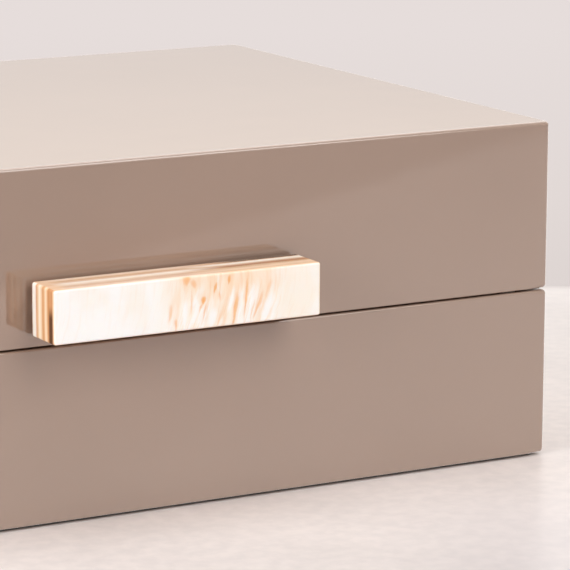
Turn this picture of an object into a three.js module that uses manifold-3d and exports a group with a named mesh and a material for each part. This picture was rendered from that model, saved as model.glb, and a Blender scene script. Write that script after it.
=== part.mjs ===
// A lacquered box with a hinged lid and a handle laminated from horn.
// Millimetres. X runs along the front, Y from the front to the back, Z up.
// The origin is the middle of the felt's underside, on the surface that the box stands on.
import * as THREE from "three";
import { RoundedBoxGeometry } from "three/addons/geometries/RoundedBoxGeometry.js";
import { mergeVertices } from "three/addons/utils/BufferGeometryUtils.js";
import Module from "manifold-3d";

const wasm = await Module();
wasm.setup();

// The case: two trays of lacquered board that meet at the seam.
const case_width = 300;
const case_depth = 225;
const base_height = 58.3;
const lid_height = 58.5;
const seam = 0.6; // open height between the two rims
const wall = 9; // thickness of the four upright boards
const top_board = 7;
const bottom_board = 6;
const board_lap = 5; // how far the top and bottom boards reach out over the walls
const edge_radius = 1.25; // rounding of the lacquered edges
const glue_line = 0.1; // room between two glued or bolted faces
const overrun = 3; // how far a cutting shape runs past what it cuts

// The felt under the base.
const felt_thickness = 1;
const felt_inset = 2.5;
const felt_corner = 4;

// The suede lining: covered boards round the walls, and a padded board on the floor and in the lid.
const lining_board = 2.5;
const lining_step = 0.8; // the lining ends this much short of the rim
const floor_pad = 4;
const lid_pad = 4;
const pad_corner = 1.2;

// The two hinges, each a pair of brass leaves let into the rims of the back walls.
const hinge_length = 44;
const hinge_inset = 62; // from the side of the case to the middle of the hinge
const leaf_thickness = 2.5;
const leaf_reach = 7.5; // from the back of the case into the rim
const axis_offset = 3.2; // from the back of the case to the pin's axis
const heel_height = 4.6; // from the pin's axis to the far side of the heel
const heel_clearance = 0.3; // between the heel and the back of the case
const stop_angle = 95; // degrees that the lid turns before the heels meet
const stop_gap = 0.2; // left between the heels at that angle
const pin_radius = 1.2;
const running_clearance = 0.1; // round the pin
const barrel_clearance = 0.3; // round a barrel, in the other leaf
const knuckle_gap = 0.3; // end play between two barrels
const knuckle_end_shares = [0, 0.32, 0.68, 1]; // where the three barrels end along the hinge
const leaf_clearance = 0.15; // between a leaf and its recess

// The wood screws that hold the leaves.
const screw_length = 10;
const screw_radius = 1.15;
const screw_head_radius = 2.2;
const screw_point = 2.5;
const screw_slot_width = 0.6;
const screw_slot_depth = 0.5;
const screw_clearance = 0.12;
const screw_place_shares = [-0.36, 0, 0.36]; // along a leaf, from its middle

// The handle: four layers of horn on two metal spacers.
const handle_length = 97;
const handle_height = 17.8;
const horn_layer = 4.1;
const horn_layers = 4;
const handle_lift = 4.2; // from the lid's rim to the underside of the handle
const handle_edge = 0.8; // rounding of the horn's edges
const stand_off = 1.6; // from the lid's front to the back of the horn
const spacer_length = 14;
const spacer_height = 5;
const spacer_inset = 0.9; // from the end of the handle to the spacer

// What holds the handle: a machine screw from inside the lid into a threaded sleeve in the horn.
const bolt_radius = 1.5;
const bolt_head_radius = 2.75;
const bolt_head_height = 2;
const bolt_recess = 3; // depth of the hole for the head, from the inside of the wall
const bolt_bite = 6.5; // length inside the sleeve
const bolt_slot_width = 0.8;
const bolt_slot_depth = 0.9;
const sleeve_radius = 2.4;
const sleeve_length = 7.5;

// The two soft discs that the lid comes down on.
const buffer_radius = 3;
const buffer_thickness = 2;
const buffer_rise = 0.3; // above the base's rim
const buffer_inset = 14; // from the side of the case

// How finely the round shapes are cut up.
const edge_steps = 3;
const barrel_sides = 32;
const pin_sides = 24;
const screw_sides = 16;
const corner_steps = 5;

const lid_bottom = base_height + seam;
const half_seam = seam / 2;
const barrel_radius = half_seam + leaf_thickness;
const wall_centre = case_depth / 2 - wall / 2; // the middle of the front and back rims, either side
const handle_depth = horn_layer * horn_layers;
const hinge_places = [
  ["left", -(case_width / 2 - hinge_inset)],
  ["right", case_width / 2 - hinge_inset],
];

const finishes = {
  lacquer: new THREE.MeshStandardMaterial({ color: 0xa9917f, roughness: 0.08, metalness: 0 }),
  horn: new THREE.MeshStandardMaterial({ color: 0xfaf1e4, roughness: 0.2, metalness: 0 }),
  suede: new THREE.MeshStandardMaterial({ color: 0x9c8a7a, roughness: 0.95, metalness: 0 }),
  felt: new THREE.MeshStandardMaterial({ color: 0x4a4039, roughness: 1, metalness: 0 }),
  brass: new THREE.MeshStandardMaterial({ color: 0xc9a45c, roughness: 0.25, metalness: 1 }),
  steel: new THREE.MeshStandardMaterial({ color: 0xc8c6c2, roughness: 0.25, metalness: 1 }),
  silicone: new THREE.MeshStandardMaterial({ color: 0xdcd8d2, roughness: 0.4, metalness: 0 }),
};

// A closed three.js shape as a solid that can be cut and joined.
function solidOf(geometry) {
  const bare = geometry.clone();
  bare.deleteAttribute("normal");
  bare.deleteAttribute("uv");
  const merged = mergeVertices(bare, glue_line / 1000);
  const mesh = new wasm.Mesh({
    numProp: 3,
    vertProperties: new Float32Array(merged.attributes.position.array),
    triVerts: new Uint32Array(merged.index.array),
  });
  return new wasm.Manifold(mesh);
}

// The first shape with the others joined to it.
function joined(first, ...others) {
  return others.reduce((whole, other) => whole.add(solidOf(other)), solidOf(first));
}

// A solid with every shape of a list cut out of it.
function cut(solid, shapes) {
  return shapes.reduce((left, shape) => left.subtract(solidOf(shape)), solid);
}

// A named sub-part, from a three.js shape or from a cut solid.
function piece(name, shape, finish) {
  let geometry = shape;
  if (!shape.isBufferGeometry) {
    const { vertProperties, triVerts, numProp } = shape.getMesh();
    geometry = new THREE.BufferGeometry();
    geometry.setAttribute("position", new THREE.BufferAttribute(vertProperties, numProp));
    geometry.setIndex(new THREE.BufferAttribute(triVerts, 1));
    geometry.computeVertexNormals();
  }
  const mesh = new THREE.Mesh(geometry, finish);
  mesh.name = name;
  return mesh;
}

// A plain block between its lowest and its highest corner.
function block([x0, y0, z0], [x1, y1, z1]) {
  const shape = new THREE.BoxGeometry(x1 - x0, y1 - y0, z1 - z0);
  return shape.translate((x0 + x1) / 2, (y0 + y1) / 2, (z0 + z1) / 2);
}

// A rectangle in X and Y with round corners, raised from z0 to z1.
function roundedPlate(width, depth, corner, z0, z1) {
  const x = width / 2 - corner;
  const y = depth / 2 - corner;
  const outline = new THREE.Shape();
  outline.absarc(x, y, corner, 0, Math.PI / 2);
  outline.absarc(-x, y, corner, Math.PI / 2, Math.PI);
  outline.absarc(-x, -y, corner, Math.PI, Math.PI * 1.5);
  outline.absarc(x, -y, corner, Math.PI * 1.5, Math.PI * 2);
  const options = { depth: z1 - z0, bevelEnabled: false, curveSegments: corner_steps };
  return new THREE.ExtrudeGeometry(outline, options).translate(0, 0, z0);
}

// A rod along X between two places.
function rod(radius, x0, x1, sides) {
  const shape = new THREE.CylinderGeometry(radius, radius, x1 - x0, sides);
  return shape.rotateZ(Math.PI / 2).translate((x0 + x1) / 2, 0, 0);
}

// A round shape along Z, from radius and height pairs that start and end on the axis.
function turned(pairs, sides) {
  return new THREE.LatheGeometry(pairs.map(([r, z]) => new THREE.Vector2(r, z)), sides).rotateX(Math.PI / 2);
}

// One upright board of a tray, mitred at both ends. Its section is a list of inset and height pairs,
// and each end follows the mitre: it draws in as far as the point lies inside the outer face.
function mitredBoard(length, outer, section) {
  const outline = new THREE.Shape(section.map(([inset, height]) => new THREE.Vector2(inset, height)));
  const shape = new THREE.ExtrudeGeometry(outline, { depth: 1, bevelEnabled: false });
  const position = shape.attributes.position;
  for (let i = 0; i < position.count; i++) {
    const inset = position.getX(i);
    const height = position.getY(i);
    const side = position.getZ(i) > 0.5 ? 1 : -1;
    position.setXYZ(i, side * (length / 2 - inset - glue_line), inset - outer, height);
  }
  return shape;
}

// The section of a tray's walls: full height outside, with a ledge that the top or bottom board lies on.
function wallSection(height, board, board_above) {
  const ledge = board + glue_line;
  const lap = wall - board_lap;
  if (board_above)
    return [
      [-overrun, -overrun],
      [wall, -overrun],
      [wall, height - ledge],
      [lap, height - ledge],
      [lap, height + overrun],
      [-overrun, height + overrun],
    ];
  return [
    [-overrun, -overrun],
    [lap, -overrun],
    [lap, ledge],
    [wall, ledge],
    [wall, height + overrun],
    [-overrun, height + overrun],
  ];
}

// The four walls of a tray, each the part of one block with rounded edges that its mitred board fills.
function trayWalls(name, height, board, board_above, cuts) {
  const whole = new RoundedBoxGeometry(case_width, case_depth, height, edge_steps, edge_radius);
  const block_with_edges = solidOf(whole.translate(0, 0, height / 2));
  const section = wallSection(height, board, board_above);
  const sides = [
    ["front", case_width, case_depth / 2, 0],
    ["right", case_depth, case_width / 2, Math.PI / 2],
    ["back", case_width, case_depth / 2, Math.PI],
    ["left", case_depth, case_width / 2, -Math.PI / 2],
  ];
  return sides.map(([side, length, outer, turn]) => {
    const board_shape = mitredBoard(length, outer, section).rotateZ(turn);
    const solid = block_with_edges.intersect(solidOf(board_shape));
    return piece(name + "_" + side + "_wall", cut(solid, cuts[side] || []), finishes.lacquer);
  });
}

// The board that closes a tray, flush with the walls' edges, from z0 to z1.
function closingBoard(name, z0, z1) {
  const inset = wall - board_lap + glue_line;
  const x = case_width / 2 - inset;
  const y = case_depth / 2 - inset;
  return piece(name, block([-x, -y, z0], [x, y, z1]), finishes.lacquer);
}

// The lining of a tray: four covered boards between z0 and z1, the side ones held between the others.
function lining(name, z0, z1) {
  const x = case_width / 2 - wall - glue_line;
  const y = case_depth / 2 - wall - glue_line;
  const inner_x = x - lining_board;
  const inner_y = y - lining_board;
  const side_y = inner_y - glue_line;
  return [
    piece(name + "_lining_front", block([-x, -y, z0], [x, -inner_y, z1]), finishes.suede),
    piece(name + "_lining_back", block([-x, inner_y, z0], [x, y, z1]), finishes.suede),
    piece(name + "_lining_left", block([-x, -side_y, z0], [-inner_x, side_y, z1]), finishes.suede),
    piece(name + "_lining_right", block([inner_x, -side_y, z0], [x, side_y, z1]), finishes.suede),
  ];
}

// A padded board that fills a tray inside its walls, from z0 to z1. The lining stands on it.
function innerPad(name, z0, z1) {
  const width = case_width - (wall + glue_line) * 2;
  const depth = case_depth - (wall + glue_line) * 2;
  return piece(name, roundedPlate(width, depth, pad_corner, z0, z1), finishes.suede);
}

// A wood screw that points down from its head's flat top, grown by the room that a hole leaves round it.
function woodScrew(room, above) {
  const countersink = screw_head_radius - screw_radius;
  return turned(
    [
      [0, -screw_length - room],
      [screw_radius + room, screw_point - screw_length],
      [screw_radius + room, -countersink - room],
      [screw_head_radius + room, -room],
      [screw_head_radius + room, above],
      [0, above],
    ],
    screw_sides,
  );
}

const leaf_screw_y = -(axis_offset + leaf_reach / 2); // from the pin's axis

// The screw holes of one leaf, in the hinge's own frame. The lid's screws point up.
function leafScrewHoles(upward) {
  return screw_place_shares.map((share) => {
    const hole = woodScrew(screw_clearance, overrun).translate(0, 0, -half_seam);
    if (upward) hole.rotateX(Math.PI);
    return hole.translate(share * hinge_length, leaf_screw_y, 0);
  });
}

// One leaf: a plate in the rim, a heel behind it that stops the lid, and its share of the barrels.
// The heel's sloping face lies half the stop angle from level, so the two heels meet at that angle.
function hingeLeaf(upward) {
  const up = upward ? 1 : -1;
  const end = hinge_length / 2;
  const half_stop = THREE.MathUtils.degToRad(stop_angle / 2);
  const slope_z = (along) => along * Math.sin(half_stop) + (stop_gap / 2) * Math.cos(half_stop);
  const slope_y = (along) => along * Math.cos(half_stop) - (stop_gap / 2) * Math.sin(half_stop);
  const along_at = (z) => (z - (stop_gap / 2) * Math.cos(half_stop)) / Math.sin(half_stop);
  const corner = (z) => [slope_y(along_at(z)), slope_z(along_at(z))];
  const heel_front = heel_clearance - axis_offset;
  const heel_outline = [[heel_front, half_seam], corner(half_seam), corner(heel_height), [heel_front, heel_height]];
  // The outline is drawn in Y and Z, and pushed along X.
  const points = heel_outline.map(([y, z]) => new THREE.Vector2(y, z * up));
  const heel = new THREE.ExtrudeGeometry(new THREE.Shape(points), { depth: hinge_length, bevelEnabled: false });
  heel.rotateX(Math.PI / 2).rotateZ(Math.PI / 2).translate(-end, 0, 0);
  const plate_z = [half_seam * up, barrel_radius * up].sort((a, b) => a - b);
  const plate = block([-end, -(axis_offset + leaf_reach), plate_z[0]], [end, heel_clearance, plate_z[1]]);
  const barrels = [];
  const clear = [];
  for (let i = 0; i + 1 < knuckle_end_shares.length; i++) {
    const mine = (i % 2 === 1) === upward;
    const x0 = knuckle_end_shares[i] * hinge_length - end;
    const x1 = knuckle_end_shares[i + 1] * hinge_length - end;
    const first = i === 0;
    const last = i + 2 === knuckle_end_shares.length;
    const gap = knuckle_gap / 2;
    if (mine) barrels.push(rod(barrel_radius, first ? x0 : x0 + gap, last ? x1 : x1 - gap, barrel_sides));
    else {
      const from = first ? x0 - overrun : x0 - gap;
      const to = last ? x1 + overrun : x1 + gap;
      clear.push(rod(barrel_radius + barrel_clearance, from, to, barrel_sides));
    }
  }
  const bore = rod(pin_radius + running_clearance, -end - overrun, end + overrun, pin_sides);
  const body = cut(joined(plate, heel), clear);
  const with_barrels = barrels.reduce((whole, barrel) => whole.add(solidOf(barrel)), body);
  return cut(with_barrels, [bore, ...leafScrewHoles(upward)]);
}

// One leaf screw, its slot along the leaf.
function leafScrew(name, upward) {
  const slot = block(
    [-screw_head_radius - overrun, -screw_slot_width / 2, -screw_slot_depth],
    [screw_head_radius + overrun, screw_slot_width / 2, overrun],
  );
  const mesh = piece(name, cut(solidOf(woodScrew(0, 0)), [slot]), finishes.brass);
  mesh.rotation.x = upward ? Math.PI : 0;
  return mesh;
}

// Half of a hinge, in a group whose origin is the middle of the pin's axis.
function hingeHalf(owner, side, x, axis_z, upward) {
  const group = new THREE.Group();
  group.position.set(x, case_depth / 2 + axis_offset, axis_z);
  group.add(piece(`hinge_${owner}_leaf_${side}`, hingeLeaf(upward), finishes.brass));
  screw_place_shares.forEach((share, i) => {
    const screw = leafScrew(`hinge_${owner}_screw_${side}_${i + 1}`, upward);
    screw.position.set(share * hinge_length, leaf_screw_y, upward ? half_seam : -half_seam);
    group.add(screw);
  });
  return group;
}

// The recesses that one back wall needs for its leaves and their screws. The rim lies at rim_z.
function hingeRecesses(rim_z, upward) {
  const axis_z = upward ? rim_z - half_seam : rim_z + half_seam;
  const half = hinge_length / 2 + leaf_clearance;
  const front = case_depth / 2 - leaf_reach - leaf_clearance;
  const depth = leaf_thickness + leaf_clearance;
  return hinge_places.flatMap(([, x]) => {
    const z0 = upward ? rim_z - overrun : rim_z - depth;
    const z1 = upward ? rim_z + depth : rim_z + overrun;
    const recess = block([x - half, front, z0], [x + half, case_depth / 2 + overrun, z1]);
    const holes = leafScrewHoles(upward);
    return [recess, ...holes.map((hole) => hole.translate(x, case_depth / 2 + axis_offset, axis_z))];
  });
}

const handle_middle_z = handle_lift + handle_height / 2; // from the lid's rim
const handle_back_y = -case_depth / 2 - stand_off;
const bolt_xs = [-1, 1].map((side) => side * (handle_length / 2 - spacer_inset - spacer_length / 2));

// A round hole along Y between two places, at a handle bolt's height.
function crossHole(radius, x, y0, y1) {
  const shape = new THREE.CylinderGeometry(radius, radius, y1 - y0, pin_sides);
  return shape.translate(x, (y0 + y1) / 2, handle_middle_z);
}

// The layers of horn, numbered from the lid outwards. The threaded sleeves sit in the first ones.
function hornLayers() {
  const whole = new RoundedBoxGeometry(handle_length, handle_depth, handle_height, edge_steps, handle_edge);
  whole.translate(0, handle_back_y - handle_depth / 2, handle_middle_z);
  const bar = solidOf(whole);
  const sleeve_end = handle_back_y - sleeve_length - glue_line;
  const bores = bolt_xs.map((x) => crossHole(sleeve_radius + glue_line, x, sleeve_end, handle_back_y + overrun));
  const reach = handle_length / 2 + overrun;
  return Array.from({ length: horn_layers }, (_, i) => {
    const back = handle_back_y - i * horn_layer;
    const y1 = i === 0 ? back + overrun : back - glue_line;
    const y0 = i === horn_layers - 1 ? back - horn_layer - overrun : back - horn_layer;
    const low = handle_lift - overrun;
    const high = handle_lift + handle_height + overrun;
    const layer = bar.intersect(solidOf(block([-reach, y0, low], [reach, y1, high])));
    return piece("horn_layer_" + (i + 1), cut(layer, bores), finishes.horn);
  });
}

// A flat spacer with round ends and a hole for the bolt.
function handleSpacer(name, x) {
  const plate = roundedPlate(spacer_length, spacer_height, spacer_height / 2, 0, stand_off - glue_line * 2);
  plate.rotateX(Math.PI / 2).translate(x, -case_depth / 2 - glue_line, handle_middle_z);
  const hole = crossHole(bolt_radius + screw_clearance, x, handle_back_y - overrun, -case_depth / 2 + overrun);
  return piece(name, cut(solidOf(plate), [hole]), finishes.steel);
}

// A machine screw along Y. Its head bears on the step in the wall, and its shank points forwards.
function handleBolt(name, x) {
  const bearing = -case_depth / 2 + wall - bolt_recess + glue_line;
  const tip = handle_back_y - bolt_bite;
  const bolt = turned(
    [
      [0, 0],
      [bolt_radius, 0],
      [bolt_radius, bearing - tip],
      [bolt_head_radius, bearing - tip],
      [bolt_head_radius, bearing - tip + bolt_head_height],
      [0, bearing - tip + bolt_head_height],
    ],
    screw_sides,
  );
  const top = bearing - tip + bolt_head_height;
  const reach = bolt_head_radius + overrun;
  const slot = block(
    [-reach, -bolt_slot_width / 2, top - bolt_slot_depth],
    [reach, bolt_slot_width / 2, top + overrun],
  );
  const mesh = piece(name, cut(solidOf(bolt), [slot]), finishes.steel);
  mesh.position.set(x, tip, handle_middle_z);
  mesh.rotation.x = -Math.PI / 2;
  return mesh;
}

// The threaded sleeve that the bolt screws into, sunk in the back of the horn.
function handleSleeve(name, x) {
  const end = handle_back_y - sleeve_length;
  const tube = crossHole(sleeve_radius, x, end, handle_back_y);
  const bore = crossHole(bolt_radius + running_clearance, x, end - overrun, handle_back_y + overrun);
  return piece(name, cut(solidOf(tube), [bore]), finishes.brass);
}

// The holes in the lid's front wall for the handle's two bolts.
function boltHoles() {
  const inside = -case_depth / 2 + wall;
  return bolt_xs.flatMap((x) => [
    crossHole(bolt_radius + screw_clearance, x, -case_depth / 2 - overrun, inside + overrun),
    crossHole(bolt_head_radius + screw_clearance, x, inside - bolt_recess, inside + overrun),
  ]);
}

// A disc that stands up from the base's rim near a front corner, with top and bottom at z0 and z1.
function bufferDisc(radius, side, z0, z1) {
  const x = side * (case_width / 2 - buffer_inset);
  const shape = new THREE.CylinderGeometry(radius, radius, z1 - z0, pin_sides).rotateX(Math.PI / 2);
  return shape.translate(x, -wall_centre, (z0 + z1) / 2);
}

// The base, in a frame that starts at its underside.
function base() {
  const group = new THREE.Group();
  group.position.z = felt_thickness;
  const buffer_floor = base_height + buffer_rise - buffer_thickness;
  const pockets = [-1, 1].map((side) =>
    bufferDisc(buffer_radius + glue_line, side, buffer_floor - glue_line, base_height + overrun),
  );
  const cuts = { front: pockets, back: hingeRecesses(base_height, false) };
  group.add(...trayWalls("base", base_height, bottom_board, false, cuts));
  group.add(closingBoard("base_bottom_board", 0, bottom_board));
  const pad_z = bottom_board + glue_line;
  group.add(innerPad("base_floor_pad", pad_z, pad_z + floor_pad));
  group.add(...lining("base", pad_z + floor_pad + glue_line, base_height - lining_step));
  const felt_width = case_width - felt_inset * 2;
  const felt_depth = case_depth - felt_inset * 2;
  const felt = roundedPlate(felt_width, felt_depth, felt_corner, -felt_thickness, -glue_line);
  group.add(piece("underside_felt", felt, finishes.felt));
  for (const [side, x] of hinge_places) {
    const half = hingeHalf("base", side, x, base_height + half_seam, false);
    const pin = rod(pin_radius, -hinge_length / 2, hinge_length / 2, pin_sides);
    half.add(piece("hinge_pin_" + side, pin, finishes.brass));
    group.add(half);
  }
  [-1, 1].forEach((side) => {
    const disc = bufferDisc(buffer_radius, side, buffer_floor, base_height + buffer_rise);
    group.add(piece("rim_buffer_" + (side < 0 ? "left" : "right"), disc, finishes.silicone));
  });
  return group;
}

// The lid, in a frame that starts at its rim.
function lid() {
  const group = new THREE.Group();
  group.position.z = felt_thickness + lid_bottom;
  const cuts = { front: boltHoles(), back: hingeRecesses(0, true) };
  group.add(...trayWalls("lid", lid_height, top_board, true, cuts));
  group.add(closingBoard("lid_top_board", lid_height - top_board, lid_height));
  const pad_z = lid_height - top_board - glue_line;
  group.add(innerPad("lid_top_pad", pad_z - lid_pad, pad_z));
  group.add(...lining("lid", lining_step, pad_z - lid_pad - glue_line));
  for (const [side, x] of hinge_places) group.add(hingeHalf("lid", side, x, -half_seam, true));
  group.add(...hornLayers());
  bolt_xs.forEach((x) => {
    const side = x < 0 ? "left" : "right";
    group.add(handleSpacer("handle_spacer_" + side, x));
    group.add(handleBolt("handle_bolt_" + side, x));
    group.add(handleSleeve("handle_sleeve_" + side, x));
  });
  return group;
}

const lacquered_box = new THREE.Group();
lacquered_box.add(base(), lid());

export default lacquered_box;
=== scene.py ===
import math

import bmesh
import bpy
import numpy as np
from mathutils import Matrix, Vector


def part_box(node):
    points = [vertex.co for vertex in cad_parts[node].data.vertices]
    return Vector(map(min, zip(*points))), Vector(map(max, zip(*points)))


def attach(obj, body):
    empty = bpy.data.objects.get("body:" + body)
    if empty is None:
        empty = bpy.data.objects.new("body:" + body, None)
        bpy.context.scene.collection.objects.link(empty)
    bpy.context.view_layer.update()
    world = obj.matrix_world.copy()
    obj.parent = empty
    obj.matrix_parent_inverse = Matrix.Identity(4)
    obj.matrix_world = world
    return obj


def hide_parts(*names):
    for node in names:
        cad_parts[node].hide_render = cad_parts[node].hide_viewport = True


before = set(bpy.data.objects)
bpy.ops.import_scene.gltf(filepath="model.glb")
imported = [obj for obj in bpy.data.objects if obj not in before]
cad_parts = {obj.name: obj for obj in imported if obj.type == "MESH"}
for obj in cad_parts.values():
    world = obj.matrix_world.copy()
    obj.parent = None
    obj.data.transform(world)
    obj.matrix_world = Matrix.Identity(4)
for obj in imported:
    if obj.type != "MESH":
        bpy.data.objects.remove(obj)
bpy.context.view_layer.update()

MM = 0.001

# The base tray: four mitred walls and a bottom board, glued up and buried under one thick coat
# of lacquer. The coat hides every joint, so walls and board show as one shell with softly
# rounded edges, made here as rings that run up the outside, over the rim and down the inside.
EDGE = 1.25 * MM
RIM_EDGE = 0.7 * MM
VERTEX_EDGE = 1.5 * MM
VERTEX_FADE = np.arange(1, 7) * MM
CORNER = 1.5 * MM
INNER_EDGE = 0.5 * MM
HOLD = 0.06 * MM
ARC = np.radians(np.linspace(0, 90, 9))
SIDES = ("front", "back", "left", "right")


def ring_stack(low, high, corner, rings, vertex_rings=None):
    """Rectangles with round corners, as rings x points x 3. Each ring is an inset, by which it is
    drawn in from the plan's low and high corners, and a height. Its corner radius is the plan's
    less the inset, or a tenth of the plan's if that is more, and each corner is a quarter arc with
    points close before and after it. Where vertex_rings are given, the corners follow them and
    fade into the others along the sides."""
    rings = np.array(rings, float)
    vertex = rings if vertex_rings is None else np.array(vertex_rings, float)
    fade = np.array([HOLD] if vertex_rings is None else [HOLD, *VERTEX_FADE])
    slide = np.concatenate([-fade[::-1], 0 * ARC, fade])
    angle = np.concatenate([0 * fade, ARC, 0 * fade + np.pi / 2])
    share = 1 - np.abs(slide) / fade[-1]
    share = share * share * (3 - 2 * share)
    inset, height = (rings[:, i, None] * (1 - share) + vertex[:, i, None] * share for i in (0, 1))
    radius = np.maximum(corner - inset, corner / 10)
    low, high = np.array(low[:2]), np.array(high[:2])
    quarters = []
    for turn, sign in enumerate(np.array([[1, 1], [-1, 1], [-1, -1], [1, -1]])):
        bearing = angle + turn * np.pi / 2
        out = np.stack([np.cos(bearing), np.sin(bearing)], axis=-1)
        along = np.stack([-np.sin(bearing), np.cos(bearing)], axis=-1) * slide[:, None]
        reach = (high - low) / 2 - (inset + radius)[..., None]
        quarters.append((low + high) / 2 + sign * reach + radius[..., None] * out + along)
    plan = np.concatenate(quarters, axis=1)
    return np.dstack([plan, np.tile(height, 4)[..., None]])


def rounding(inset, height, radius, start):
    """The rings of one rounded edge: a quarter circle round (inset, height), clockwise from the angle
    start in degrees, with a ring close before it and close after it."""
    angle = np.radians(start) - ARC
    arc = np.stack([inset + radius * np.cos(angle), height + radius * np.sin(angle)], axis=1)
    step = HOLD * np.stack([np.sin(angle), -np.cos(angle)], axis=1)
    return np.vstack([arc[:1] - step[:1], arc, arc[-1:] + step[-1:]]).tolist()


def mesh_piece(name, points, faces, sharp=35):
    """A piece at the origin with its faces turned outwards, smooth except over edges that turn by
    more than sharp degrees."""
    mesh = bpy.data.meshes.new(name)
    mesh.from_pydata(np.asarray(points).reshape(-1, 3).tolist(), [], faces)
    shape = bmesh.new()
    shape.from_mesh(mesh)
    if shape.calc_volume(signed=True) < 0:
        bmesh.ops.reverse_faces(shape, faces=shape.faces)
    shape.to_mesh(mesh)
    shape.free()
    mesh.shade_smooth()
    mesh.set_sharp_from_angle(angle=math.radians(sharp))
    made = bpy.data.objects.new(name, mesh)
    bpy.context.scene.collection.objects.link(made)
    return made


def grid_faces(rows, columns, closed):
    """The four-cornered faces of a grid of points, row by row, joined end to end where it is closed."""
    row, column = np.meshgrid(np.arange(rows - 1), np.arange(columns - (not closed)), indexing="ij")
    here, beside = row * columns + column, row * columns + (column + 1) % columns
    return np.stack([here, beside, beside + columns, here + columns], axis=-1).reshape(-1, 4).tolist()


def ring_piece(name, points, sharp=35):
    """A closed piece from stacked rings, with a flat face over each end."""
    rings, around = points.shape[:2]
    ends = [list(range(around))[::-1], list(range((rings - 1) * around, rings * around))]
    return mesh_piece(name, points, grid_faces(rings, around, True) + ends, sharp)


def tray(name, low, high, closed_z, rim_z, floor, wall, closed_edge):
    """A tray's shell: rounded at its closed side, at the outer edge of its rim and, least, inside it.
    Where three faces meet, the rounding grows to that of a hand-rubbed corner."""
    height = abs(rim_z - closed_z)

    def profile(closed, rim):
        rings = rounding(closed, closed, closed, -90)
        rings += rounding(rim, height - rim, rim, 180)
        rings += rounding(wall - INNER_EDGE, height - INNER_EDGE, INNER_EDGE, 90)
        return rings + [[wall, floor + HOLD], [wall, floor]]

    plain, grown = profile(closed_edge, RIM_EDGE), profile(VERTEX_EDGE, VERTEX_EDGE)
    points = ring_stack(low, high, CORNER, plain, grown)
    points[..., 2] = closed_z + np.sign(rim_z - closed_z) * points[..., 2]
    return ring_piece(name, points)


def turned(name, middle, pairs, along="z", sides=48, sharp=35):
    """A turned piece: pairs of radius and place along an axis, carried round it, with flat ends."""
    radius, place = np.array(pairs, float).T
    angle = np.linspace(0, 2 * np.pi, sides, endpoint=False)
    ring = [radius[:, None] * np.cos(angle), radius[:, None] * np.sin(angle), place[:, None] + 0 * angle]
    order = {"x": [2, 0, 1], "y": [1, 2, 0], "z": [0, 1, 2]}[along]
    return ring_piece(name, np.stack([ring[i] for i in order], axis=-1) + np.array(middle), sharp)


def block(name, low, high):
    """A plain block between two corners, for cutting with."""
    low, high = np.array(low), np.array(high)
    corner = np.array([[0, 0], [1, 0], [1, 1], [0, 1]])
    rings = np.stack([np.hstack([corner, np.full((4, 1), level)]) for level in (0, 1)])
    return ring_piece(name, low + rings * (high - low))


def cut_away(piece, cutters, sharp=35):
    """Cuts other closed meshes out of a piece, and removes them."""
    for cutter in cutters:
        modifier = piece.modifiers.new("recess", "BOOLEAN")
        modifier.operation, modifier.solver, modifier.object = "DIFFERENCE", "EXACT", cutter
        cut = bpy.data.meshes.new_from_object(piece.evaluated_get(bpy.context.evaluated_depsgraph_get()))
        piece.modifiers.clear()
        piece.data = cut
        bpy.data.objects.remove(cutter)
    piece.data.name = piece.name
    piece.data.set_sharp_from_angle(angle=math.radians(sharp))


class Shade:
    """One output of a material's nodes. Operators on it add Math nodes."""

    def __init__(self, tree, output):
        self.tree, self.output = tree, output

    def node(self, kind, sockets, output=0, stops=(), **settings):
        """Adds a node: first its settings and a ramp's stops, then each socket's value or link."""
        made = self.tree.nodes.new(kind)
        for name, value in settings.items():
            setattr(made, name, value)
        for i, (place, colour) in enumerate(stops):
            stop = made.color_ramp.elements[i] if i < 2 else made.color_ramp.elements.new(place)
            stop.position, stop.color = place, colour
        for name, value in sockets.items():
            if isinstance(value, Shade):
                self.tree.links.new(value.output, made.inputs[name])
            else:
                made.inputs[name].default_value = value
        return Shade(self.tree, made.outputs[output])

    def math(self, operation, *values):
        return self.node("ShaderNodeMath", dict(enumerate(values)), operation=operation)

    def __add__(self, other):
        return self.math("ADD", self, other)

    def __sub__(self, other):
        return self.math("SUBTRACT", self, other)

    def __rsub__(self, other):
        return self.math("SUBTRACT", other, self)

    def __mul__(self, other):
        return self.math("MULTIPLY", self, other)

    def __truediv__(self, other):
        return self.math("DIVIDE", self, other)

    __radd__, __rmul__ = __add__, __mul__

    def step(self, low, high, start=0.0, end=1.0):
        """Goes smoothly from start to end as this goes from low to high."""
        sockets = {"Value": self, "From Min": low, "From Max": high, "To Min": start, "To Max": end}
        return self.node("ShaderNodeMapRange", sockets, interpolation_type="SMOOTHSTEP")

    def mix(self, without, with_all):
        """The first colour at 0 and the second at 1."""
        return self.node("ShaderNodeMix", {0: self, 6: without, 7: with_all}, output=2, data_type="RGBA")

    def axes(self):
        """This place's three coordinates."""
        split = self.node("ShaderNodeSeparateXYZ", {0: self}).output.node
        return [Shade(self.tree, output) for output in split.outputs]

    def stretched(self, *scales):
        """This place with each axis multiplied by its scale."""
        return self.node("ShaderNodeVectorMath", {0: self, 1: scales}, operation="MULTIPLY")

    def noise(self, scale, detail=2.0, roughness=0.5):
        sockets = {"Vector": self, "Scale": scale, "Detail": detail, "Roughness": roughness}
        return self.node("ShaderNodeTexNoise", sockets)

    def feed(self, shader, socket):
        self.tree.links.new(self.output, shader.inputs[socket])

    def bump(self, shader, distance, strength=1.0):
        """Makes this height, times a distance in metres, the surface's bumps."""
        sockets = {"Height": self, "Distance": distance, "Strength": strength}
        self.node("ShaderNodeBump", sockets).feed(shader, "Normal")


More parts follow.
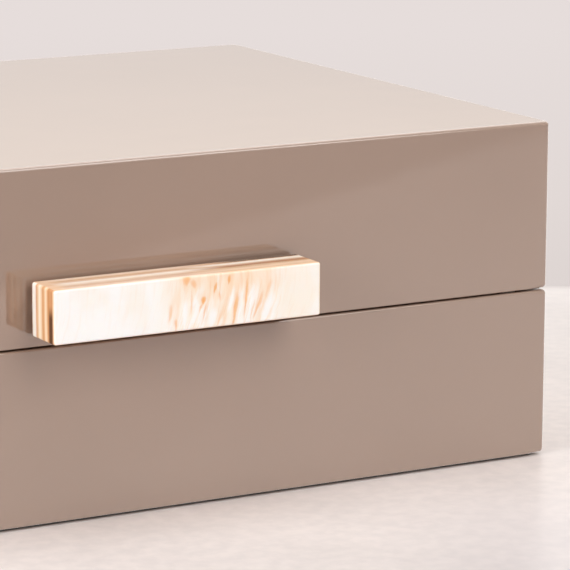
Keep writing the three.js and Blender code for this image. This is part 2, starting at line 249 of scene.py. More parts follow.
def paint(red, green, blue):
    """A colour from its values on a screen, 0 to 255."""
    value = np.array([red, green, blue]) / 255
    linear = np.where(value <= 0.04045, value / 12.92, ((value + 0.055) / 1.055) ** 2.4)
    return tuple(linear.tolist()) + (1.0,)


def surface(name, **uniform):
    """A new material: itself, its shader with what is the same all over, and each point's place."""
    material = bpy.data.materials.new(name)
    material.use_nodes = True
    tree = material.node_tree
    shader = tree.nodes["Principled BSDF"]
    for socket, value in uniform.items():
        shader.inputs[socket.replace("_", " ")].default_value = value
    return material, shader, Shade(tree, tree.nodes.new("ShaderNodeTexCoord").outputs["Object"])


def dress(piece, material, body, slot, *nodes):
    """Gives a piece its finish and its body, and lets it stand for CAD nodes."""
    piece.data.materials.clear()
    piece.data.materials.append(material)
    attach(piece, body)
    if nodes:
        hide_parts(*nodes)
    return piece


# Polished lacquer: an opaque coat, faintly cloudy, rubbed flat and buffed to a mirror.
TAUPE = paint(150, 125, 109)
TAUPE_CLOUD = paint(147, 122, 106)
lacquer, shader, place = surface("polished_lacquer", IOR=1.65)
place.noise(9.0, detail=3.0).step(0.35, 0.65).mix(TAUPE_CLOUD, TAUPE).feed(shader, "Base Color")
place.noise(30.0, detail=4.0).step(0.3, 0.7, 0.03, 0.05).feed(shader, "Roughness")
(place.noise(60.0) + place.noise(700.0) * 0.02).bump(shader, 0.00003)

wall_low, wall_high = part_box("base_front_wall")
case_low = Vector((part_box("base_left_wall")[0][0], wall_low[1], wall_low[2]))
case_high = Vector((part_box("base_right_wall")[1][0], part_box("base_back_wall")[1][1], wall_high[2]))
wall = wall_high[1] - wall_low[1]
base_rim = case_high[2]
base_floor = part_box("base_bottom_board")[1][2] - case_low[2]
base_tray = tray("base_tray", case_low, case_high, case_low[2], base_rim, base_floor, wall, RIM_EDGE)

# The rims' recesses: a shallow one for each hinge leaf, open at the back, and in the base a round
# pocket for each buffer.
LEAF = 2.5 * MM
LEAF_ROOM = 0.15 * MM
POCKET_ROOM = 0.1 * MM
OVERRUN = 3 * MM


def leaf_recess(node, rim, way):
    """The block to cut for a hinge leaf, down from the rim with way -1 and up from it with way 1."""
    low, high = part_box(node)
    depth = sorted([rim - way * OVERRUN, rim + way * (LEAF + LEAF_ROOM)])
    front = low[1] - LEAF_ROOM
    return block("recess", (low[0] - LEAF_ROOM, front, depth[0]), (high[0] + LEAF_ROOM, high[1], depth[1]))


cutters = [leaf_recess(f"hinge_base_leaf_{side}", base_rim, -1) for side in ("left", "right")]
for side in ("left", "right"):
    low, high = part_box(f"rim_buffer_{side}")
    radius = (high[0] - low[0]) / 2 + POCKET_ROOM
    cutters.append(turned("pocket", (low + high) / 2, [(radius, -(high[2] - low[2])), (radius, OVERRUN)]))
cut_away(base_tray, cutters)
base_walls = [f"base_{side}_wall" for side in SIDES]
dress(base_tray, lacquer, "base", "taupe_lacquer", "base_bottom_board", *base_walls)

# The felt under the base: dense wool felt glued on a little way in from the edges, with a cut
# edge that frays slightly. Its edge is given as inset and height in millimetres, the height from
# the felt's foot and then from its top.
FELT_CORNER = 4 * MM
FELT_FOOT = ((0.25, 0.0), (0.08, 0.08), (0.0, 0.3))
FELT_TOP = ((0.0, -0.1), (0.06, 0.0), (0.5, 0.0))
felt, shader, place = surface("wool_felt", Roughness=1.0, Sheen_Weight=0.15, Sheen_Roughness=0.6, IOR=1.3)
fibre = place.noise(1400.0, detail=4.0, roughness=0.7)
wool = (fibre * 0.7 + place.noise(60.0) * 0.3).step(0.3, 0.7)
# Painted shade: the felt's dark brown is made darker still, to stand for the deep shade in the gap under
# the base.
wool.mix(paint(24, 20, 17), paint(42, 35, 30)).feed(shader, "Base Color")
fibre.bump(shader, 0.00025, 0.8)
low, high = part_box("underside_felt")
felt_rings = [[inset * MM, low[2] + up * MM] for inset, up in FELT_FOOT]
felt_rings += [[inset * MM, high[2] + up * MM] for inset, up in FELT_TOP]
underside_felt = ring_piece("felt_sheet", ring_stack(low, high, FELT_CORNER, felt_rings), sharp=60)
dress(underside_felt, felt, "base", "felt", "underside_felt")

# The base's floor pad: a thin board under a skin of foam, covered in suede that is turned under
# and glued. The lining stands on its edge, so the skin swells a little inside that.
PAD_CORNER = 1.2 * MM
PAD_CROWN = 1.0 * MM
PAD_BACK_ROLL = 0.2
PAD_STEPS = (150, 112)
suede, shader, place = surface(
    "taupe_suede", Roughness=0.95, Sheen_Weight=0.45, Sheen_Roughness=0.35, IOR=1.35
)
shader.inputs["Sheen Tint"].default_value = paint(236, 222, 208)
nap = place.noise(14.0, detail=3.0) * 0.3 + place.noise(110.0, detail=3.0) * 0.35
pile = place.noise(2600.0, detail=3.0, roughness=0.65)
lay = (nap + pile * 0.35).step(0.3, 0.7)
lay.mix(paint(156, 136, 121), paint(186, 166, 150)).feed(shader, "Base Color")
(pile + place.noise(500.0) * 0.4).bump(shader, 0.00012, 0.7)


def swelling(along, across, length, width):
    """How far a skin held at a rectangle's edges swells under even pressure, 1 at the middle: the
    sum of odd sine waves along and across, each divided by its own stiffness."""
    waves = np.arange(1, 16, 2)
    first = np.sin(np.pi * waves[:, None] * np.clip(along, 0, 1))
    second = np.sin(np.pi * waves[:, None] * np.clip(across, 0, 1))
    stiffness = waves[:, None] * waves * ((waves[:, None] / length) ** 2 + (waves / width) ** 2)
    height = np.einsum("ma,nb,mn->ab", first, second, 1 / stiffness)
    return height / height.max()


def pad_piece(name, node, held, way):
    """A covered board with its swollen face up (way 1) or down (way -1). The face is a grid, closest
    at the edges, which roll down in a quarter circle, and the back's roll is PAD_BACK_ROLL of
    that. The face swells inside held, the lining's depth."""
    low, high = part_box(node)
    size = np.array(high - low)
    spread = [(1 - np.cos(np.pi * np.linspace(0, 1, count))) / 2 for count in PAD_STEPS]
    x, y = (low[i] + size[i] * spread[i] for i in (0, 1))
    inner = [(spread[i] * size[i] - held) / (size[i] - 2 * held) for i in (0, 1)]
    swell = swelling(inner[0], inner[1], size[0] - 2 * held, size[1] - 2 * held)
    edge = np.minimum.outer(*[np.minimum(spread[i], 1 - spread[i]) * size[i] for i in (0, 1)])
    roll = PAD_CORNER - np.sqrt(np.maximum(PAD_CORNER**2 - np.maximum(PAD_CORNER - edge, 0) ** 2, 0))
    grid = np.stack(np.meshgrid(x, y, indexing="ij"), axis=-1)
    faces = grid_faces(len(x), len(y), False)
    face_z, back_z = (high[2], low[2]) if way > 0 else (low[2], high[2])
    top = np.dstack([grid, face_z + way * (PAD_CROWN * swell - roll)])
    bottom = np.dstack([grid, back_z + way * roll * PAD_BACK_ROLL])
    count = top.shape[0] * top.shape[1]
    index = np.arange(count).reshape(top.shape[:2])
    rim = np.concatenate([index[:-1, 0], index[-1, :-1], index[:0:-1, -1], index[0, :0:-1]])
    after = np.roll(rim, -1)
    sides = np.stack([rim, after, after + count, rim + count], axis=-1).tolist()
    under = [[count + i for i in face[::-1]] for face in faces]
    points = np.concatenate([top.reshape(-1, 3), bottom.reshape(-1, 3)])
    return mesh_piece(name, points, faces + sides + under, sharp=70)


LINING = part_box("base_lining_front")[1][1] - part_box("base_lining_front")[0][1]
floor_pad = pad_piece("floor_pad", "base_floor_pad", LINING, 1)
dress(floor_pad, suede, "base", "suede", "base_floor_pad")

# The base's lining: four thin boards covered in the same suede, pushed down on to the floor pad.
# The suede rounds their top edges, where it is drawn over from the inside to the outside.
LINING_CORNER = 0.5 * MM
LINING_EDGE = 1.0 * MM
LINING_FOOT = 0.15 * MM


def lining_board(name, node, way):
    """A covered board with its rounded edge up (way 1) or down (way -1)."""
    low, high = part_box(node)
    height = high[2] - low[2]
    rings = [[LINING_FOOT, 0], [0, LINING_FOOT], [0, height / 2]]
    rings += rounding(LINING_EDGE, height - LINING_EDGE, LINING_EDGE, 180)
    points = ring_stack(low, high, LINING_CORNER, rings)
    points[..., 2] = (low[2] if way > 0 else high[2]) + way * points[..., 2]
    return ring_piece(name, points, sharp=60)


for side in SIDES:
    board = lining_board(f"base_side_lining_{side}", f"base_lining_{side}", 1)
    dress(board, suede, "base", "suede", f"base_lining_{side}")

# The rim buffers: clear silicone discs pressed into pockets near the front corners, with a low
# dome that the lid comes down on. A dome here stops just short of its pole.
BUFFER_DOME = 0.45 * MM
BUFFER_EASE = 0.2 * MM
DOME_END = 1.5
silicone, shader, place = surface(
    "clear_silicone", Transmission_Weight=0.45, IOR=1.41, Subsurface_Weight=0.3
)
shader.inputs["Subsurface Scale"].default_value = 2 * MM
haze = place.noise(900.0, detail=3.0).step(0.4, 0.8)
haze.mix(paint(226, 222, 214), paint(206, 200, 190)).feed(shader, "Base Color")
place.noise(300.0, detail=3.0).step(0.3, 0.7, 0.25, 0.45).feed(shader, "Roughness")
for side in ("left", "right"):
    low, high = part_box(f"rim_buffer_{side}")
    middle, radius, half = (low + high) / 2, (high[0] - low[0]) / 2, (high[2] - low[2]) / 2
    turn = np.linspace(0, 1, 10)[1:]
    reach = radius * np.cos(turn * DOME_END)
    rise = half - BUFFER_DOME + BUFFER_DOME * np.sin(turn * np.pi / 2)
    profile = [(radius - BUFFER_EASE, -half), (radius, BUFFER_EASE - half), (radius, half - BUFFER_DOME)]
    buffer = turned(f"buffer_{side}", middle, profile + list(zip(reach, rise)), sharp=60)
    dress(buffer, silicone, "base", "silicone", f"rim_buffer_{side}")

# The lid tray: built as the base is, upside down, with a thicker top board. Inside its front wall
# are the stepped holes for the handle's bolts.
BOLT_HEAD = 2 * MM
BOLT_SHANK_SHARE = 0.6
lid_low = Vector((case_low[0], case_low[1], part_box("lid_front_wall")[0][2]))
lid_high = Vector((case_high[0], case_high[1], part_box("lid_front_wall")[1][2]))
lid_rim = lid_low[2]
lid_depth = lid_high[2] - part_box("lid_top_board")[0][2]
lid_tray = tray("lid_tray", lid_low, lid_high, lid_high[2], lid_rim, lid_depth, wall, EDGE)
cutters = [leaf_recess(f"hinge_lid_leaf_{side}", lid_rim, 1) for side in ("left", "right")]
for side in ("left", "right"):
    low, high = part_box(f"handle_bolt_{side}")
    middle = ((low[0] + high[0]) / 2, 0, (low[2] + high[2]) / 2)
    head = (high[0] - low[0]) / 2 + POCKET_ROOM
    front, inside = case_low[1], case_low[1] + wall
    step = high[1] - BOLT_HEAD - POCKET_ROOM
    shank = head * BOLT_SHANK_SHARE
    hole = [(shank, front - OVERRUN), (shank, step), (head, step), (head, inside + OVERRUN)]
    cutters.append(turned("bolt_hole", middle, hole, along="y"))
cut_away(lid_tray, cutters)
lid_walls = [f"lid_{side}_wall" for side in SIDES]
dress(lid_tray, lacquer, "lid", "taupe_lacquer", "lid_top_board", *lid_walls)

# The lid's lining: a padded board inside the top and four covered boards that hold it there.
top_pad = pad_piece("lid_pad", "lid_top_pad", LINING, -1)
dress(top_pad, suede, "lid", "suede", "lid_top_pad")
for side in SIDES:
    board = lining_board(f"lid_side_lining_{side}", f"lid_lining_{side}", -1)
    dress(board, suede, "lid", "suede", f"lid_lining_{side}")

# The hinges: stop hinges milled from brass, satin-brushed along their length, each two leaves
# with a heel and their share of the barrel, on a plain pin with domed ends.
BREAK = 0.12 * MM
MERGE = 0.002 * MM
PIN_DOME = 0.5 * MM
brass, shader, place = surface("brushed_brass", Metallic=1.0)
stroke = place.stretched(60.0, 5200.0, 5200.0).noise(1.0, detail=4.0, roughness=0.6)
tone = place.noise(60.0, detail=3.0)
satin = (stroke * 0.4 + tone * 0.6).step(0.35, 0.65)
satin.mix(paint(188, 168, 132), paint(203, 184, 150)).feed(shader, "Base Color")
(stroke * 0.5 + tone * 0.5).step(0.3, 0.7, 0.18, 0.34).feed(shader, "Roughness")
stroke.bump(shader, 0.00001, 0.5)


def broken_edges(name, node):
    """A merged copy of a CAD node's mesh, its flat faces made whole and its sharp edges broken by a
    small bevel."""
    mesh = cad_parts[node].data.copy()
    mesh.name = name
    shape = bmesh.new()
    shape.from_mesh(mesh)
    bmesh.ops.remove_doubles(shape, verts=shape.verts, dist=MERGE)
    bmesh.ops.dissolve_limit(shape, angle_limit=math.radians(1), verts=shape.verts, edges=shape.edges)
    shape.to_mesh(mesh)
    shape.free()
    made = bpy.data.objects.new(name, mesh)
    bpy.context.scene.collection.objects.link(made)
    bevel = made.modifiers.new("broken_edge", "BEVEL")
    bevel.width, bevel.segments = BREAK, 2
    bevel.limit_method, bevel.angle_limit = "ANGLE", math.radians(40)
    bevel.use_clamp_overlap = True
    made.data = bpy.data.meshes.new_from_object(made.evaluated_get(bpy.context.evaluated_depsgraph_get()))
    made.modifiers.clear()
    made.data.name = name
    made.data.shade_smooth()
    made.data.set_sharp_from_angle(angle=math.radians(35))
    return made


for side in ("left", "right"):
    for body in ("base", "lid"):
        leaf = broken_edges(f"leaf_{body}_{side}", f"hinge_{body}_leaf_{side}")
        dress(leaf, brass, body, "brass", f"hinge_{body}_leaf_{side}")
    low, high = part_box(f"hinge_pin_{side}")
    radius, half = (high[2] - low[2]) / 2, (high[0] - low[0]) / 2
    turn = np.linspace(0, DOME_END, 8)
    rise = half - PIN_DOME + PIN_DOME * np.sin(turn) / math.sin(DOME_END)
    end = list(zip(radius * np.cos(turn), rise))
    profile = [(r, -x) for r, x in end[::-1]] + end
    pin = turned(f"pin_{side}", (low + high) / 2, profile, along="x")
    dress(pin, brass, "base", "brass", f"hinge_pin_{side}")

# The hinges' screws: slotted brass wood screws, their flat heads turned flush with the leaf. A
# head's outline is given as shares of its radius and depths in millimetres, down to the shank.
HEAD_OUTLINE = ((0.92, 0.0), (1.0, 0.12), (1.0, 0.2), (0.52, 1.2))
TIP_LENGTH, TIP_RADIUS = 2.5 * MM, 0.1 * MM
SLOT_WIDTH, SLOT_DEPTH = 0.6 * MM, 0.5 * MM
for side in ("left", "right"):
    for body, way in (("base", 1), ("lid", -1)):
        for number in (1, 2, 3):
            node = f"hinge_{body}_screw_{side}_{number}"
            low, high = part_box(node)
            head, length = (high[0] - low[0]) / 2, high[2] - low[2]
            face = high[2] if way > 0 else low[2]
            middle = Vector(((low[0] + high[0]) / 2, (low[1] + high[1]) / 2, face))
            pairs = [(head * share, -depth * MM) for share, depth in HEAD_OUTLINE]
            pairs += [(pairs[-1][0], TIP_LENGTH - length), (TIP_RADIUS, -length)]
            screw = turned(f"screw_{body}_{side}_{number}", middle, [(r, way * z) for r, z in pairs])
            slot = middle - Vector((head * 2, SLOT_WIDTH / 2, way * SLOT_DEPTH))
            clear = middle + Vector((head * 2, SLOT_WIDTH / 2, way * OVERRUN))
            cut_away(screw, [block("slot", np.minimum(slot, clear), np.maximum(slot, clear))])
            dress(screw, brass, body, "brass", node)

# The handle: four plates of blond horn glued face to face, cut to a bar, its outer edges eased,
# and polished. Each plate is cream with an amber skin, and the front plate shows flame figure.
HORN_EDGE = 0.8 * MM
HORN_CORNER = 0.9 * MM
horn, shader, place = surface("blond_horn", IOR=1.54, Specular_IOR_Level=0.2, Subsurface_Weight=0.12)
shader.inputs["Subsurface Radius"].default_value = (1.0, 0.7, 0.45)
shader.inputs["Subsurface Scale"].default_value = 1.2 * MM
layers = [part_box(f"horn_layer_{i}") for i in (1, 2, 3, 4)]
bar_low, bar_high = layers[3][0], layers[0][1]
bar_length, bar_depth, bar_height = (bar_high - bar_low) / MM
x, y, z = (axis / MM for axis in place.axes())
along, up, deep = x - bar_low[0] / MM, z - bar_low[2] / MM, bar_high[1] / MM - y

# The plates' edges, as colours by depth from the lid. On the ends each plate is cream with an amber skin,
# and a dark streak lies low in the front one. Along the top the grain is cut lengthwise: peach with one
# white line, and brown toward the right. Toward the right the top is also dark brown along its back edge.
CREAM, WHITE, PEACH = paint(245, 239, 231), paint(246, 245, 243), paint(244, 207, 170)
STREAK_DEPTH, STREAK_HALF = 14.3, 1.7
END_TONES = (
    (0.0, (96, 60, 40)), (0.6, (160, 112, 80)), (1.4, (253, 248, 240)), (3.1, (253, 246, 236)),
    (3.9, (226, 172, 128)), (5.0, (240, 202, 164)), (6.1, (250, 238, 218)), (7.4, (246, 218, 184)),
    (8.5, (220, 164, 114)), (9.4, (228, 176, 128)), (10.5, (248, 226, 198)), (11.4, (242, 206, 166)),
    (12.4, (206, 146, 96)), (14.0, (214, 158, 112)), (15.2, (206, 148, 102)), (16.2, (236, 204, 170)),
)
LEFT_TONES = (
    (0.0, (214, 184, 160)), (2.4, (246, 220, 196)), (4.6, (216, 174, 140)), (6.4, (228, 192, 162)),
    (7.8, (254, 246, 234)), (9.6, (248, 230, 210)), (11.6, (220, 182, 154)), (13.8, (230, 196, 172)),
    (15.6, (242, 214, 192)),
)
RIGHT_TONES = (
    (0.0, (186, 134, 100)), (2.2, (206, 156, 120)), (3.2, (232, 196, 166)), (4.2, (253, 248, 240)),
    (5.6, (250, 236, 218)), (7.0, (200, 152, 118)), (8.4, (166, 114, 80)), (10.2, (206, 160, 120)),
    (12.4, (244, 214, 182)), (15.2, (230, 192, 160)),
)
sway = (place.stretched(40.0, 20.0, 40.0).noise(1.0, detail=2.0) - 0.5) * 1.1


def tones_by_depth(tones):
    """The colour at each depth from the lid, from pairs of depth in millimetres and colour."""
    stops = [(depth / bar_depth, paint(*tone)) for depth, tone in tones]
    return place.node("ShaderNodeValToRGB", {0: (deep + sway) / bar_depth}, stops=stops)


edge_colour = along.step(46.0, 68.0).mix(tones_by_depth(LEFT_TONES), tones_by_depth(RIGHT_TONES))
# Toward the right end the top is made dark brown along its back edge.
dark_back_band = along.step(62.0, 74.0) * (1 - deep.step(2.2, 3.4))
edge_colour = dark_back_band.mix(edge_colour, paint(74, 45, 30))
edge_colour = (1 - along.step(2.0, 9.0)).mix(edge_colour, paint(240, 202, 168))
sheets = place.stretched(28.0, 2000.0, 28.0).noise(1.0, detail=3.0, roughness=0.6)
edge_colour = sheets.step(0.5, 0.72, 0.0, 0.4).mix(edge_colour, paint(205, 148, 106))
edge_colour = sheets.step(0.5, 0.3, 0.0, 0.4).mix(edge_colour, paint(255, 243, 226))
streak = (deep - STREAK_DEPTH) / STREAK_HALF
dark = (1 - streak * streak).step(0.0, 0.9) * (1 - up.step(8.0, 13.0)) * 0.95
end_colour = dark.mix(tones_by_depth(END_TONES), paint(84, 54, 36))
ends = (1 - along.step(0.3, 1.0)) + along.step(bar_length - 1.0, bar_length - 0.3)
edge_colour = ends.mix(edge_colour, end_colour)

# The front plate's figure: pale flames that rise from the bottom and lean to the right, finer
# threads in them, and leaning drops of two kinds, each wider at its top.
fall = 1 - up / bar_height
warp = (place.stretched(120.0, 1.0, 60.0).noise(1.0, detail=3.0) - 0.5) * 4.0
ripple = (place.stretched(500.0, 1.0, 160.0).noise(1.0, detail=3.0, roughness=0.6) - 0.5) * 1.2
bend = along + fall * fall * 3.6 + warp
bent = along + warp * 0.4 + ripple * 1.4
zone = along.step(36.0, 50.0) * (1 - along.step(74.0, 88.0))


def flame_noise(wide, tall, layer, detail=3.0):
    """Noise drawn out up the bent lines of the figure, wide and tall in millimetres."""
    at = place.node("ShaderNodeCombineXYZ", {0: bend / wide, 1: layer, 2: up / tall})
    return at.noise(1.0, detail=detail, roughness=0.55)


rise = up + (flame_noise(3.0, 26.0, 3.0) - 0.5) * 26.0
wash = rise.step(4.0, 13.0) * zone
haze = flame_noise(16.0, 30.0, 5.0).step(0.3, 0.6) * along.step(28.0, 50.0)
cloud = place.stretched(80.0, 10.0, 50.0).noise(1.0, detail=3.0).step(0.42, 0.66)
flames = flame_noise(3.4, 17.0, 0.0).step(0.46, 0.66) * zone
pale = flame_noise(3.6, 15.0, 21.0).step(0.5, 0.62) * zone * (1 - up.step(8.0, 17.0))
threads = flame_noise(1.1, 12.0, 7.0, 2.0).step(0.5, 0.72) * (zone * 0.8 + 0.2)
face_colour = (cloud * 0.9).mix(WHITE, CREAM)
face_colour = (haze * 0.7).mix(face_colour, paint(246, 236, 222))
face_colour = (wash * 0.85).mix(face_colour, paint(246, 224, 200))
face_colour = (flames * 0.45).mix(face_colour, PEACH)
face_colour = (pale * 0.85).mix(face_colour, WHITE)
face_colour = (threads * 0.45).mix(face_colour, paint(242, 196, 150))

# The drops, by the place of each one's middle along the bar and up it, its half width and half
# height, all in millimetres, and its lean. STROKES are amber, with their strength last, and TONGUES
# are white.
STROKES = (
    (47.4, 16.6, 1.4, 2.6, 0.1, 0.75), (50.0, 15.0, 1.3, 1.9, -0.35, 0.55),
    (49.2, 9.5, 0.3, 5.0, 0.05, 0.3), (57.8, 13.0, 0.6, 2.3, 0.25, 0.85),
    (53.2, 9.3, 0.9, 1.7, 0.1, 1.0), (52.4, 7.2, 0.35, 2.2, 0.4, 0.5),
    (53.6, 5.6, 0.4, 3.6, 0.25, 0.55), (62.5, 15.2, 0.7, 2.0, 0.2, 0.9),
    (59.4, 10.2, 0.45, 1.9, -0.1, 0.5), (69.0, 9.0, 0.45, 8.2, 0.09, 0.7),
    (65.0, 4.8, 0.8, 7.0, 0.17, 0.75), (41.4, 6.3, 0.5, 3.4, 0.1, 0.45),
    (43.4, 2.2, 0.5, 2.5, 0.0, 0.6), (73.4, 5.8, 0.7, 5.6, 0.33, 0.55),
    (77.2, 10.8, 0.8, 3.6, 0.35, 0.25), (71.4, 4.4, 0.35, 4.4, 0.2, 0.35),
)
TONGUES = (
    (63.5, 8.6, 1.1, 5.4, 0.28), (66.9, 6.4, 0.7, 6.6, 0.13), (76.8, 4.4, 2.0, 6.0, 0.36),
    (58.8, 14.4, 0.35, 3.6, 0.02), (56.4, 3.0, 1.8, 4.4, 0.2), (46.6, 5.0, 1.2, 6.0, 0.05),
    (70.6, 5.6, 0.4, 5.0, 0.14),
)


def from_middle(at, height, wide, tall, lean):
    """How far each point is from a leaning drop's middle, squared: 1 on its outline, where its half
    width is wide and its half height tall, in millimetres. It is wider at the top."""
    run = up.math("MULTIPLY_ADD", up, 1 / tall, -height / tall)
    off = up.math("MULTIPLY_ADD", up, -lean, bent) - (at - height * lean)
    off = off / run.math("MULTIPLY_ADD", run, wide * 0.5, wide * 1.1)
    return run.math("MULTIPLY_ADD", run, run, off * off)


white = from_middle(*TONGUES[0]).step(0.0, 1.0, 1.0, 0.0)
for drop in TONGUES[1:]:
    white = white.math("MAXIMUM", white, from_middle(*drop).step(0.0, 1.0, 1.0, 0.0))
face_colour = (white * 0.9).mix(face_colour, WHITE)
halo, amber = 0.0, 0.0
for *drop, strength in STROKES:
    off = from_middle(*drop)
    halo = off.math("MAXIMUM", halo, off.step(0.0, 5.0, strength * 0.4, 0.0))
    amber = off.math("MAXIMUM", amber, off.step(0.0, 1.0, strength, 0.0))
face_colour = halo.mix(face_colour, PEACH)
face_colour = amber.mix(face_colour, paint(240, 176, 112))

# The figure shows on the front plate's face, and at the bar's right end it thins into the edge.
front = (deep + (place.noise(300.0) - 0.5) * 0.2).step(bar_depth - 0.4, bar_depth - 0.05)
end = along.step(bar_length - 0.9, bar_length - 0.3) * 0.55
(front * (1 - end)).mix(edge_colour, face_colour).feed(shader, "Base Color")
place.noise(200.0, detail=3.0).step(0.3, 0.7, 0.14, 0.24).feed(shader, "Roughness")
place.stretched(400.0, 400.0, 60.0).noise(1.0, detail=2.0).bump(shader, 0.00002, 0.4)

# The plates' shapes, each from halfway into one glue line to halfway into the next. The back
# plate's rear edges and the front plate's front edges are eased.
glued = [(layers[i][0][1] + layers[i + 1][1][1]) / 2 for i in range(3)]
faces = [bar_high[1], *glued, bar_low[1]]
for i in range(4):
    back = faces[i]
    thick = back - faces[i + 1]
    rings = rounding(HORN_EDGE, HORN_EDGE, HORN_EDGE, -90) if i == 0 else [[0, 0]]
    rings += rounding(HORN_EDGE, thick - HORN_EDGE, HORN_EDGE, 180) if i == 3 else [[0, thick]]
    points = ring_stack((bar_low[0], bar_low[2]), (bar_high[0], bar_high[2]), HORN_CORNER, rings)
    points = np.stack([points[..., 0], back - points[..., 2], points[..., 1]], axis=-1)
    dress(ring_piece(f"horn_plate_{i + 1}", points), horn, "lid", "blond_horn", f"horn_layer_{i + 1}")

# What holds the handle: polished steel spacers with round ends that show in the gap behind it,
# steel bolts from inside the lid, and brass sleeves let into the horn.
SPACER_EDGE = 0.2 * MM
steel, shader, place = surface("polished_steel", Metallic=1.0)
grain = place.stretched(3000.0, 80.0, 3000.0).noise(1.0, detail=3.0)
grain.step(0.3, 0.7).mix(paint(196, 192, 188), paint(222, 220, 217)).feed(shader, "Base Color")
grain.step(0.3, 0.7, 0.12, 0.24).feed(shader, "Roughness")
for side in ("left", "right"):
    low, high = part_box(f"handle_spacer_{side}")
    thick = high[1] - low[1]
    rings = rounding(SPACER_EDGE, SPACER_EDGE, SPACER_EDGE, -90)
    rings += rounding(SPACER_EDGE, thick - SPACER_EDGE, SPACER_EDGE, 180)
    points = ring_stack((low[0], low[2]), (high[0], high[2]), (high[2] - low[2]) / 2 - HOLD * 2, rings)
    points = np.stack([points[..., 0], high[1] - points[..., 2], points[..., 1]], axis=-1)
    dress(ring_piece(f"spacer_{side}", points), steel, "lid", "steel", f"handle_spacer_{side}")
    for node, material in ((f"handle_bolt_{side}", steel), (f"handle_sleeve_{side}", brass)):
        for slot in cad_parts[node].material_slots:
            slot.material = material

# The camera, at the photograph's place and angle.
YAW, PITCH, ROLL = (math.radians(angle) for angle in (29.61, 11.727, 0.225))
CAMERA_PLACE = (-0.50003, -1.07194, 0.3003)
SENSOR, LENS = 36, 214.45
forward = Vector((math.sin(YAW) * math.cos(PITCH), math.cos(YAW) * math.cos(PITCH), -math.sin(PITCH)))
level = Vector((math.cos(YAW), -math.sin(YAW), 0))
upright = level.cross(forward)
right = level * math.cos(ROLL) + upright * math.sin(ROLL)
top = upright * math.cos(ROLL) - level * math.sin(ROLL)
camera = bpy.data.objects.new("camera", bpy.data.cameras.new("camera"))
camera.data.sensor_width, camera.data.lens = SENSOR, LENS
camera.data.clip_start, camera.data.clip_end = 0.01, 50
bearing = Matrix((right, top, -forward)).transposed().to_4x4()
camera.matrix_world = Matrix.Translation(CAMERA_PLACE) @ bearing
bpy.context.scene.collection.objects.link(camera)
bpy.context.scene.camera = camera

# The floor: a wide pale satin sheet with a fine wavy grain, painted lighter toward the back (painted light)
# and a little deeper at the front right (painted shade). Across the view behind the box it turns to the
# backdrop's tone. In front of its near edge it is painted darker for glossy rays only, and for glossy rays
# it also glows: both are painted reflections that the lacquer mirrors.
SPAN = 6.0
FAR_EDGE, FAR_BLUR = 0.264, 0.005
NEAR_EDGE, NEAR_BLUR = -0.345, 0.012
BACKDROP_DEPTH = 0.85
# The floor's glow for glossy rays only, a painted reflection: in front of the near edge, far from the box
# and close to it.
FRONT_GLARE, NEAR_GLARE, FLOOR_GLARE = (0.46, 0.46, 0.46, 1), (0.765, 0.75, 0.73, 1), (1.0, 0.985, 0.955, 1)
floor_finish, shader, place = surface("pale_floor", IOR=1.13)
x, y = place.axes()[:2]
away, across = x * math.sin(YAW) + y * math.cos(YAW), x * math.cos(YAW) - y * math.sin(YAW)
grain = place.noise(170.0, detail=3.0, roughness=0.5)
drift = place.noise(14.0, detail=2.0).step(0.3, 0.7)
stone = (grain.step(0.25, 0.75) * 0.6 + drift * 0.4).mix(paint(214, 206, 203), paint(230, 221, 217))
# Painted light: the floor is made lighter toward the back, where the box shades it from the left and back
# lamps.
stone = (away.step(0.0, FAR_EDGE) * 0.4).mix(stone, paint(250, 242, 239))
# Painted shade: the floor is made a little darker at the front right, where the key lights it most.
stone = (across.step(0.11, 0.18) * away.step(-0.04, -0.13) * 0.3).mix(stone, paint(188, 182, 187))
camera_ray = place.node("ShaderNodeLightPath", {}, "Is Camera Ray")
glossy_ray = place.node("ShaderNodeLightPath", {}, "Is Glossy Ray")
near = away.step(NEAR_EDGE - NEAR_BLUR, NEAR_EDGE + NEAR_BLUR)
# Painted reflection: for glossy rays the floor glows, dim in front of the near edge and brightest close to
# the box, so the lacquer mirrors a bright floor.
painted_glow = near.mix(FRONT_GLARE, away.step(-0.33, -0.1).mix(NEAR_GLARE, FLOOR_GLARE))
# Painted reflection: in front of the near edge the floor is darker for glossy rays only, so the lacquer
# mirrors a dark edge that the camera never sees on the floor.
((1 - near) * glossy_ray * 0.35).mix(stone, paint(100, 94, 89)).feed(shader, "Base Color")
grain.step(0.3, 0.7, 0.28, 0.34).feed(shader, "Roughness")
glossy_ray.mix((0, 0, 0, 1), painted_glow).feed(shader, "Emission Color")
shader.inputs["Emission Strength"].default_value = 1
far_tones = [(0.0, paint(222, 213, 210)), (0.25, paint(226, 217, 214)), (1.0, paint(230, 221, 219))]
far_tone = place.node("ShaderNodeValToRGB", {0: (away - FAR_EDGE) / BACKDROP_DEPTH}, stops=far_tones)
backdrop = place.node("ShaderNodeEmission", {"Color": far_tone, "Strength": 1.0})
far = away.step(FAR_EDGE - FAR_BLUR, FAR_EDGE + FAR_BLUR) * camera_ray
lit = Shade(place.tree, shader.outputs["BSDF"])
shown = place.node("ShaderNodeMixShader", {0: far, 1: lit, 2: backdrop})
shown.feed(place.tree.nodes["Material Output"], "Surface")
corners = [(-SPAN, -SPAN, 0), (SPAN, -SPAN, 0), (SPAN, SPAN, 0), (-SPAN, SPAN, 0)]
floor = mesh_piece("floor", corners, [[0, 1, 2, 3]])
floor.data.materials.append(floor_finish)

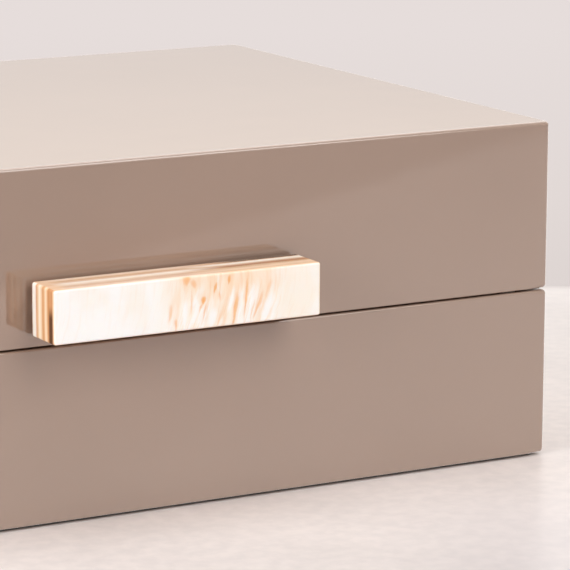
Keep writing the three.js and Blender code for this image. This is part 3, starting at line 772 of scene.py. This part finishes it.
# The light: a soft key from the front right and above, a softbox overhead, and one on the left and
# one behind, in a pale room.
for name, middle, towards, width, height, level, mirrored in (
    ("key", (1.11, -3.225, 2.61), (0, 0, 0.03), 2.48, 2.48, 5.6, True),
    ("overhead", (0.15, -0.15, 2.1), (0, 0, 0), 1.8, 1.2, 3.1, True),
    ("left", (-3.0, -0.45, 1.2), (0, 0, 0.05), 2.4, 2.1, 6.1, True),
    ("back", (0.0, 3.1, 1.25), (0, 0, 0.1), 4.4, 2.4, 0.8, False),
):
    lamp = bpy.data.objects.new(name, bpy.data.lights.new(name, "AREA"))
    lamp.data.shape, lamp.data.size, lamp.data.size_y = "RECTANGLE", width, height
    lamp.data.energy = level * math.pi * width * height
    lamp.location = middle
    lamp.rotation_euler = (Vector(towards) - Vector(middle)).to_track_quat("-Z", "Y").to_euler()
    lamp.visible_glossy = mirrored
    bpy.context.scene.collection.objects.link(lamp)

# The room round it: dim for soft light, and the backdrop's tone to the camera. Polished surfaces
# mirror it as pale walls, lighter higher up and lightest at the back.
ROOM_SOFT, ROOM_TONE = (0.08, 0.079, 0.078, 1), paint(230, 221, 218)
WALL_LOW, WALL_HIGH, WALL_BACK = (1.12, 1.06, 1.025, 1), (1.45, 1.34, 1.25, 1), (3.4, 3.3, 3.2, 1)
world = bpy.data.worlds.new("room")
world.use_nodes = True
bpy.context.scene.world = world
room = world.node_tree.nodes["Background"]
direction = world.node_tree.nodes.new("ShaderNodeTexCoord").outputs["Generated"]
back, height = Shade(world.node_tree, direction).axes()[1:]
camera_ray, glossy_ray, clear_ray = (
    height.node("ShaderNodeLightPath", {}, f"Is {kind} Ray")
    for kind in ("Camera", "Glossy", "Transmission")
)
mirrored = height.step(0.13, 0.18).mix(WALL_LOW, WALL_HIGH)
mirrored = (height.step(0.2, 0.5) * back.step(-0.1, 0.15)).mix(mirrored, WALL_BACK)
seen = camera_ray.math("MAXIMUM", camera_ray, clear_ray)
seen.mix(glossy_ray.mix(ROOM_SOFT, mirrored), ROOM_TONE).feed(room, "Color")
bpy.context.scene.view_settings.view_transform = "Standard"
